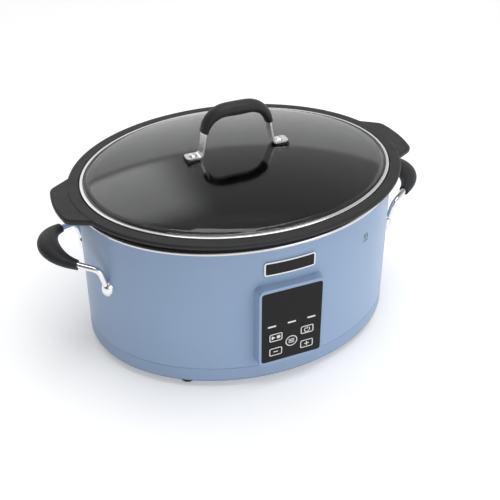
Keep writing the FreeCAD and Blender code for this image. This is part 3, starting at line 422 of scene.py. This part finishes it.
STEEL = (0.78, 0.78, 0.79)
SLOTS = {
    "shell_paint": satin_paint(),
    "base_plastic": moulded_blue("base_plastic", 0.93),
    "bezel_plastic": moulded_blue("bezel_plastic", 1.0),
    "polished_steel": polished("polished_steel", STEEL, 0.10, 0.20, 60.0),
    "well_steel": spangled("well_steel", (0.62, 0.63, 0.65), 160.0),
    "heater_metal": spangled("heater_metal", (0.52, 0.50, 0.48), 300.0),
    "insulation": woven_insulation(),
    "zinc_steel": spangled("zinc_steel", (0.66, 0.66, 0.68), 900.0),
    "sensor_metal": polished("sensor_metal", (0.72, 0.70, 0.66), 0.25, 0.4, 200.0),
    "circuit_board": circuit_board(),
    "component_black": plain_plastic("component_black", (0.02, 0.02, 0.022), 0.45),
    "cable_grey": plain_plastic("cable_grey", (0.22, 0.22, 0.23), 0.5),
    "gland_black": plain_plastic("gland_black", (0.022, 0.022, 0.022), 0.5),
    "foot_rubber": soft_rubber("foot_rubber", (0.020, 0.020, 0.020), 0.72, 1800.0),
    "grip_rubber": soft_rubber("grip_rubber", (0.026, 0.026, 0.028), 0.50, 2200.0),
    "chrome_rod": polished("chrome_rod", (0.83, 0.84, 0.86), 0.04, 0.11, 90.0),
    "panel_gloss": gloss_black("panel_gloss", (0.008, 0.008, 0.009), 0.18),
    "key_gloss": gloss_black("key_gloss", (0.009, 0.009, 0.010), 0.26),
    "lamp_lens": translucent_lens(),
    "badge_black": gloss_black("badge_black", (0.012, 0.012, 0.013), 0.22),
    "pot_coating": cast_coating(),
    "lid_glass": tempered_glass(),
    "gasket_silicone": soft_rubber("gasket_silicone", (0.03, 0.03, 0.03), 0.6, 1800.0),
}
INK = white_ink()
WARNING_INK = plain_plastic("warning_ink", (0.06, 0.07, 0.09), 0.5)


def ring_steel():
    """Polished steel with painted shade along the foot of the bead, where its colour is darker."""
    material = polished("ring_steel", (0.70, 0.71, 0.73), 0.12, 0.22, 60.0)
    # painted shade along the foot of the bead
    darker_below(material, *RING_PAINTED_SHADE_Z, RING_PAINTED_SHADE)
    return material


# Steel nodes that are finished unlike the rest of their slot; the top ring's steel also carries
# painted shade
OWN_FINISH_AND_PAINTED_SHADE = {
    "top_ring": ring_steel(),
    "lid_band": polished("band_steel", (0.95, 0.95, 0.95), 0.16, 0.24, 60.0),
    "lid_handle_strap": polished("strap_steel", (0.92, 0.92, 0.93), 0.18, 0.28, 90.0),
}


def dress_nodes():
    """Gives every CAD node the material of its slot."""
    for name, node in nodes.items():
        for index, old in enumerate(node.data.materials):
            node.data.materials[index] = OWN_FINISH_AND_PAINTED_SHADE.get(name, SLOTS[old.name.split(".")[0]])


# ------------------------------------------------------------------- pieces

def add_piece(name, mesh, body):
    """Puts a mesh in the scene as a piece that rides on a body."""
    piece = bpy.data.objects.new(name, mesh)
    bpy.context.scene.collection.objects.link(piece)
    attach(piece, body)
    return piece


# ------------------------------------------------------------ printed marks

class Marks:
    """Thin closed plates in a plane that faces -Y, gathered into one mesh."""

    def __init__(self, front):
        self.front = front - PRINT_PROUD
        self.back = front + PRINT_DEPTH
        self.points = []
        self.faces = []

    def layer(self, outline, y):
        first = len(self.points)
        self.points += [(x, y, z) for x, z in outline]
        return list(range(first, first + len(outline)))

    def fill(self, outline):
        """Plate with a convex outline that runs counter-clockwise as seen from the front."""
        front = self.layer(outline, self.front)
        back = self.layer(outline, self.back)
        self.faces.append(front)
        self.faces.append(back[::-1])
        self.walls(front, back)

    def ring(self, outer, inner):
        """Plate between two closed outlines that have the same number of points."""
        fronts = [self.layer(outer, self.front), self.layer(inner, self.front)]
        backs = [self.layer(outer, self.back), self.layer(inner, self.back)]
        self.band(*fronts)
        self.band(backs[1], backs[0])
        self.walls(fronts[0], backs[0])
        self.walls(backs[1], fronts[1])

    def strip(self, outer, inner):
        """Plate between two open lines of points, the inner on the left of the outer."""
        fronts = [self.layer(outer, self.front), self.layer(inner, self.front)]
        backs = [self.layer(outer, self.back), self.layer(inner, self.back)]
        last = len(outer) - 1
        for k in range(last):
            j = k + 1
            self.faces.append([fronts[0][k], fronts[0][j], fronts[1][j], fronts[1][k]])
            self.faces.append([backs[0][j], backs[0][k], backs[1][k], backs[1][j]])
            self.faces.append([fronts[0][k], backs[0][k], backs[0][j], fronts[0][j]])
            self.faces.append([fronts[1][j], backs[1][j], backs[1][k], fronts[1][k]])
        for k, turn in ((0, 1), (last, -1)):
            end = [fronts[0][k], fronts[1][k], backs[1][k], backs[0][k]]
            self.faces.append(end[::turn])

    def band(self, outer, inner):
        for k in range(len(outer)):
            j = (k + 1) % len(outer)
            self.faces.append([outer[k], outer[j], inner[j], inner[k]])

    def walls(self, front, back):
        for k in range(len(front)):
            j = (k + 1) % len(front)
            self.faces.append([front[k], back[k], back[j], front[j]])

    def build(self, name, body, ink=INK):
        mesh = bpy.data.meshes.new(name)
        mesh.from_pydata(self.points, [], self.faces)
        mesh.materials.append(ink)
        mesh.update()
        add_piece(name, mesh, body)


def turn_points(cx, cz, radius, start, stop, steps):
    """Points on an arc, in degrees counter-clockwise as seen from the front."""
    angles = [math.radians(start + (stop - start) * k / steps) for k in range(steps + 1)]
    return [(cx + radius * math.cos(a), cz + radius * math.sin(a)) for a in angles]


def circle(cx, cz, radius):
    return turn_points(cx, cz, radius, 0.0, 360.0, CIRCLE_STEPS)[:-1]


def rounded(cx, cz, wide, tall, corner):
    """Rectangle with rounded corners."""
    points = []
    for sx, sz, start in ((1, 1, 0.0), (-1, 1, 90.0), (-1, -1, 180.0), (1, -1, 270.0)):
        x = cx + sx * (wide / 2 - corner)
        z = cz + sz * (tall / 2 - corner)
        points += turn_points(x, z, corner, start, start + 90.0, CORNER_STEPS)
    return points


def frame_line(marks, cx, cz, wide, tall, corner, line):
    """Outlined rounded rectangle."""
    inner_corner = max(corner - line, LEAST_CORNER)
    outer = rounded(cx, cz, wide, tall, corner)
    inner = rounded(cx, cz, wide - 2 * line, tall - 2 * line, inner_corner)
    marks.ring(outer, inner)


def arc_line(marks, cx, cz, radius, line, start, stop):
    """Open arc of a line."""
    steps = CIRCLE_STEPS // 2
    outer = turn_points(cx, cz, radius + line / 2, start, stop, steps)
    inner = turn_points(cx, cz, radius - line / 2, start, stop, steps)
    marks.strip(outer, inner)


def wave_line(marks, cx, low, high, sway, line):
    """Upright wavy line."""
    right = []
    left = []
    for k in range(WAVE_STEPS + 1):
        share = k / WAVE_STEPS
        x = cx + sway * math.sin(2 * math.pi * share)
        z = low + (high - low) * share
        right.append((x + line / 2, z))
        left.append((x - line / 2, z))
    marks.strip(right, left)


def bar(marks, cx, cz, wide, tall):
    marks.fill(rounded(cx, cz, wide, tall, min(wide, tall) * BAR_CORNER))


def key_face(node):
    """Middle and size of a key's front, and the Y of its front face."""
    low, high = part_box(node)
    middle = (low + high) / 2
    return middle.x, middle.z, high.x - low.x, high.z - low.z, low.y


def rectangular_mark(key, draw):
    """Outline round a rectangular key and its icon."""
    cx, cz, wide, tall, front = key_face(key)
    wide = min(wide, KEY_WIDE)
    tall = min(tall, KEY_TALL)
    marks = Marks(front)
    frame_line(marks, cx, cz, wide - 2 * KEY_INSET, tall - 2 * KEY_INSET, KEY_CORNER, LINE)
    draw(marks, cx, cz)
    marks.build(key + "_print", key)


def draw_start_stop(marks, cx, cz):
    """Small triangle and square."""
    x = cx + PLAY_X
    marks.fill([(x - PLAY_BACK, cz - PLAY_HALF), (x + PLAY_TIP, cz), (x - PLAY_BACK, cz + PLAY_HALF)])
    bar(marks, cx + STOP_X, cz, STOP_SIDE, STOP_SIDE)


def draw_power(marks, cx, cz):
    """Open ring with a stroke at its top."""
    arc_line(marks, cx, cz - POWER_DROP, POWER_RADIUS, POWER_LINE, *POWER_ARC)
    bar(marks, cx, cz + POWER_STROKE_UP, POWER_LINE, POWER_STROKE)


def draw_minus(marks, cx, cz):
    bar(marks, cx, cz, MINUS_WIDE, MINUS_TALL)


def draw_plus(marks, cx, cz):
    out = (PLUS_ARM + PLUS_HALF) / 2
    bar(marks, cx, cz, 2 * PLUS_ARM, 2 * PLUS_HALF)
    bar(marks, cx, cz + out, 2 * PLUS_HALF, PLUS_ARM - PLUS_HALF)
    bar(marks, cx, cz - out, 2 * PLUS_HALF, PLUS_ARM - PLUS_HALF)


def mode_mark():
    """Ring round the mode key, with three short strokes."""
    cx, cz, _, _, front = key_face("mode_button")
    radius = MODE_RADIUS - KEY_INSET
    marks = Marks(front)
    marks.ring(circle(cx, cz, radius), circle(cx, cz, radius - LINE))
    for step in (-1, 0, 1):
        bar(marks, cx, cz + step * STROKE_APART, STROKE_WIDE, STROKE_TALL)
    marks.build("mode_print", "mode_button")


def state_labels():
    """Three plain bars over the lamps on the window."""
    marks = Marks(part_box("panel_window")[0].y)
    for step in (-1, 0, 1):
        bar(marks, step * LABEL_X, LABEL_Z, LABEL_WIDE, LABEL_TALL)
    marks.build("state_labels", "housing")


def on_wall(angle, across, inward, z):
    """Point on the oval wall, a distance across to the right of the place at an angle."""
    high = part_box("outer_shell")[1]
    place = Vector((high.x * math.cos(angle), high.y * math.sin(angle), 0.0))
    normal = Vector((place.x / high.x ** 2, place.y / high.y ** 2, 0.0)).normalized()
    place += Vector((0.0, 0.0, 1.0)).cross(normal) * across
    place /= math.hypot(place.x / high.x, place.y / high.y)
    place -= normal * inward
    return (place.x, place.y, z)


def hot_surface_mark():
    """Generic sign for a hot surface on the wall: three waves over a bar."""
    marks = Marks(0.0)
    for step in (-1, 0, 1):
        wave_line(marks, step * WAVE_APART, -WAVE_TALL / 2, WAVE_TALL / 2, WAVE_SWAY, WAVE_LINE)
    bar(marks, 0.0, -WARNING_BAR_DROP * WAVE_TALL, WARNING_BAR_WIDE * WAVE_APART, WAVE_LINE)
    angle = math.radians(WARNING_ANGLE)
    marks.points = [on_wall(angle, x, y, WARNING_Z + z) for x, y, z in marks.points]
    marks.build("hot_surface_mark", "housing", WARNING_INK)


# ---------------------------------------------------------------- lid glass

def glass_rise(share):
    """Height of the pane over its flat edge: a short shoulder and then a shallow dome.
    The share is 1 at the edge and 0 in the middle."""
    climb = min(max((SHOULDER_OUT - share) / (SHOULDER_OUT - SHOULDER_IN), 0.0), 1.0)
    shoulder = climb * climb * (3 - 2 * climb)
    inner = min(share / SHOULDER_OUT, 1.0)
    return SHOULDER_RISE * shoulder + DOME_RISE * (1 - inner * inner)


def glass_shares():
    """Rings of the pane, close together over the shoulder."""
    flat = [1.0, (1.0 + SHOULDER_OUT) / 2]
    turn = [SHOULDER_OUT + (SHOULDER_IN - SHOULDER_OUT) * k / SHOULDER_RINGS
            for k in range(SHOULDER_RINGS)]
    dome = [SHOULDER_IN * (1 - k / DOME_RINGS) for k in range(DOME_RINGS)]
    return flat + turn + dome


def oval_ring(half_long, half_deep, z):
    angles = [2 * math.pi * k / GLASS_STEPS for k in range(GLASS_STEPS)]
    return [(half_long * math.cos(a), half_deep * math.sin(a), z) for a in angles]


def pane_points():
    """Rings of points up the underside to the edge and back over the top, then both middles."""
    low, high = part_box("lid_glass")
    edge_z = low.z + GLASS_THICK
    shares = glass_shares()
    over = [oval_ring(high.x * s, high.y * s, edge_z + glass_rise(s)) for s in shares]
    under = [oval_ring(high.x * s, high.y * s, low.z + glass_rise(s)) for s in shares]
    points = [point for ring in under[::-1] + over for point in ring]
    points.append((0.0, 0.0, low.z + glass_rise(0.0)))
    points.append((0.0, 0.0, edge_z + glass_rise(0.0)))
    return points


def pane_faces(rings):
    """Quads between neighbouring rings, and a fan round each middle."""
    faces = []
    for ring in range(rings - 1):
        for k in range(GLASS_STEPS):
            j = (k + 1) % GLASS_STEPS
            near = ring * GLASS_STEPS
            far = near + GLASS_STEPS
            faces.append([near + k, near + j, far + j, far + k])
    bottom = rings * GLASS_STEPS
    top = bottom + 1
    last = (rings - 1) * GLASS_STEPS
    for k in range(GLASS_STEPS):
        j = (k + 1) % GLASS_STEPS
        faces.append([bottom, j, k])
        faces.append([top, last + k, last + j])
    return faces


def lid_pane():
    """Smooth pane with the size and profile of the CAD pane, but without its two screw holes."""
    mesh = bpy.data.meshes.new("lid_pane")
    mesh.from_pydata(pane_points(), [], pane_faces(2 * len(glass_shares())))
    mesh.materials.append(SLOTS["lid_glass"])
    mesh.polygons.foreach_set("use_smooth", [True] * len(mesh.polygons))
    mesh.update()
    pane = add_piece("lid_pane", mesh, "lid")
    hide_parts("lid_glass")


# ------------------------------------------------------------------- studio

def look_at(thing, place, target):
    thing.location = place
    direction = Vector(target) - Vector(place)
    thing.rotation_euler = direction.to_track_quat("-Z", "Y").to_euler()


def soft_box(name, place, target, wide, tall, watts):
    light = bpy.data.lights.new(name, "AREA")
    light.shape = "RECTANGLE"
    light.size = wide
    light.size_y = tall
    light.energy = watts
    thing = bpy.data.objects.new(name, light)
    thing.visible_camera = False
    bpy.context.scene.collection.objects.link(thing)
    look_at(thing, place, target)


def eased(tree, value, start, stop, first, last):
    """Smooth change from first to last as the value goes from start to stop."""
    node = tree.nodes.new("ShaderNodeMapRange")
    node.interpolation_type = "SMOOTHSTEP"
    node.inputs["From Min"].default_value = start
    node.inputs["From Max"].default_value = stop
    node.inputs["To Min"].default_value = first
    node.inputs["To Max"].default_value = last
    tree.links.new(value, node.inputs["Value"])
    return node.outputs["Result"]


def combined(tree, operation, first, second):
    node = tree.nodes.new("ShaderNodeMath")
    node.operation = operation
    tree.links.new(first, node.inputs[0])
    tree.links.new(second, node.inputs[1])
    return node.outputs["Value"]


def walls_and_ceiling(tree, rise):
    """Brightness of the surroundings by the sine of the elevation."""
    walls = tree.nodes.new("ShaderNodeValToRGB")
    stops = walls.color_ramp.elements
    for place, _ in SURROUNDINGS[1:-1]:
        stops.new(place)
    for stop, (place, level) in zip(stops, SURROUNDINGS):
        stop.position = place
        stop.color = (level, level, level, 1.0)
    tree.links.new(rise, walls.inputs["Fac"])
    return walls.outputs["Color"]


def pale_card(tree, x, y, z):
    """Brightness of the card, nothing outside its box of directions."""
    card = eased(tree, x, CARD_X[1], CARD_X[0], CARD_LEVEL, 0.0)
    for limit in (eased(tree, x, *SHADE_SIDE, 0.0, 1.0),
                  eased(tree, y, *CARD_Y, 0.0, 1.0),
                  eased(tree, z, *CARD_Z[:2], 0.0, 1.0),
                  eased(tree, z, *CARD_Z[2:], 1.0, 0.0)):
        card = combined(tree, "MULTIPLY", card, limit)
    return card


def surroundings(tree):
    """Pale walls under a darker ceiling, shaded toward -X, with one pale card."""
    direction = tree.nodes.new("ShaderNodeTexCoord").outputs["Generated"]
    split = tree.nodes.new("ShaderNodeSeparateXYZ")
    tree.links.new(direction, split.inputs["Vector"])
    x, y, z = split.outputs["X"], split.outputs["Y"], split.outputs["Z"]
    walls = walls_and_ceiling(tree, z)
    side = eased(tree, x, *SHADE_SIDE, SHADE_LEVEL, 1.0)
    shaded = combined(tree, "MULTIPLY", walls, side)
    card = pale_card(tree, x, y, z)
    background = tree.nodes["Background"]
    background.inputs["Color"].default_value = (1.0, 1.0, 1.0, 1.0)
    tree.links.new(combined(tree, "ADD", shaded, card), background.inputs["Strength"])


def lay_floor():
    half = FLOOR_SIZE / 2
    mesh = bpy.data.meshes.new("floor")
    corners = [(-half, -half, 0.0), (half, -half, 0.0), (half, half, 0.0), (-half, half, 0.0)]
    mesh.from_pydata(corners, [], [(0, 1, 2, 3)])
    mesh.materials.append(studio_floor())
    floor = bpy.data.objects.new("floor", mesh)
    bpy.context.scene.collection.objects.link(floor)


def studio():
    """Pale floor, surrounding light and soft boxes."""
    scene = bpy.context.scene
    lay_floor()
    world = bpy.data.worlds.new("studio")
    world.use_nodes = True
    surroundings(world.node_tree)
    scene.world = world
    for box in SOFT_BOXES:
        soft_box(*box)
    scene.view_settings.view_transform = "Standard"


def camera():
    azimuth = math.radians(CAMERA_AZIMUTH)
    elevation = math.radians(CAMERA_ELEVATION)
    level = math.cos(elevation)
    back = Vector((math.sin(azimuth) * level, -math.cos(azimuth) * level, math.sin(elevation)))
    data = bpy.data.cameras.new("camera")
    data.lens = CAMERA_LENS
    data.sensor_width = SENSOR_WIDTH
    thing = bpy.data.objects.new("camera", data)
    bpy.context.scene.collection.objects.link(thing)
    look_at(thing, CAMERA_TARGET + back * CAMERA_DISTANCE, CAMERA_TARGET)
    bpy.context.scene.camera = thing


dress_nodes()
rectangular_mark("start_stop_button", draw_start_stop)
rectangular_mark("power_button", draw_power)
rectangular_mark("minus_button", draw_minus)
rectangular_mark("plus_button", draw_plus)
mode_mark()
state_labels()
hot_surface_mark()
lid_pane()
studio()
camera()
